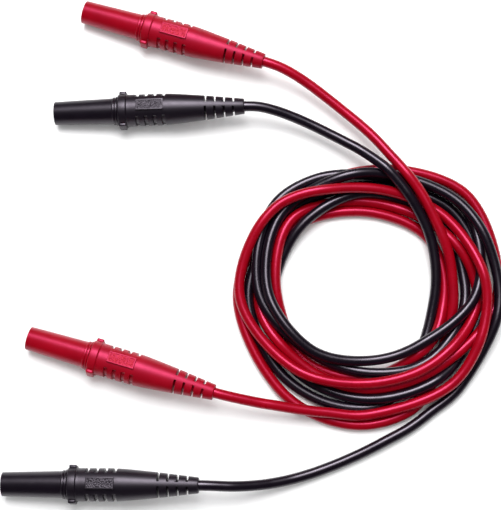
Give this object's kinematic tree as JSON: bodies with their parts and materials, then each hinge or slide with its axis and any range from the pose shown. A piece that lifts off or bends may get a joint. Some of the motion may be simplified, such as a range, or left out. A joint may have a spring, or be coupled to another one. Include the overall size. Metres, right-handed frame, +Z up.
{
  "type": "test lead pair",
  "caption": "Red and black test leads with shrouded straight 4 mm plugs at both ends, wound together in one loose round coil.",
  "frame": {"origin": "on the surface that the leads lie on, under the middle of the four plugs' box", "axes": "+Z up from the surface, +Y from the lower pair of plugs towards the upper pair, +X from the plugs towards the coil"},
  "size_m": [0.1683, 0.1726, 0.0129],
  "materials": {
    "red_shroud": "satin moulded plastic",
    "black_shroud": "satin moulded plastic",
    "red_grip": "soft satin moulding",
    "black_grip": "soft satin moulding",
    "red_cord": "smooth satin silicone",
    "black_cord": "smooth satin silicone",
    "contact_brass": "turned brass",
    "spring_plating": "nickel-plated spring sheet",
    "copper_strands": "fine bare copper strands"
  },
  "bodies": {
    "leads": {"red_upper_sleeve": "red_shroud", "red_upper_contact_pin": "contact_brass", "red_upper_grip": "red_grip", "red_upper_strands": "copper_strands", "red_upper_cable_end": "red_cord", "black_upper_sleeve": "black_shroud", "black_upper_contact_pin": "contact_brass", "black_upper_grip": "black_grip", "black_upper_strands": "copper_strands", "black_upper_cable_end": "black_cord", "red_lower_sleeve": "red_shroud", "red_lower_contact_pin": "contact_brass", "red_lower_grip": "red_grip", "red_lower_strands": "copper_strands", "red_lower_cable_end": "red_cord", "black_lower_sleeve": "black_shroud", "black_lower_contact_pin": "contact_brass", "black_lower_grip": "black_grip", "black_lower_strands": "copper_strands", "black_lower_cable_end": "black_cord", "red_cord_in": "red_cord", "red_cord_out": "red_cord", "black_cord_in": "black_cord", "black_cord_out": "black_cord", "coil": "red_cord"},
    "red_upper_contact_spring": {"red_upper_contact_spring": "spring_plating"},
    "black_upper_contact_spring": {"black_upper_contact_spring": "spring_plating"},
    "red_lower_contact_spring": {"red_lower_contact_spring": "spring_plating"},
    "black_lower_contact_spring": {"black_lower_contact_spring": "spring_plating"}
  },
  "joints": [
    {"name": "red_upper_contact_spring_spin", "type": "hinge", "parent": "leads", "child": "red_upper_contact_spring", "pos_m": [-0.00915, 0.07946, 0.00474], "axis": [0.9525, -0.2948, 0.0767], "continuous": true},
    {"name": "black_upper_contact_spring_spin", "type": "hinge", "parent": "leads", "child": "black_upper_contact_spring", "pos_m": [-0.01816, 0.04649, 0.00474], "axis": [0.9969, 0.0191, 0.0767], "continuous": true},
    {"name": "red_lower_contact_spring_spin", "type": "hinge", "parent": "leads", "child": "red_lower_contact_spring", "pos_m": [-0.02578, -0.03419, 0.00474], "axis": [0.955, -0.2865, 0.0767], "continuous": true},
    {"name": "black_lower_contact_spring_spin", "type": "hinge", "parent": "leads", "child": "black_lower_contact_spring", "pos_m": [-0.03296, -0.07971, 0.00474], "axis": [0.997, -0.0087, 0.0767], "continuous": true}
  ]
}
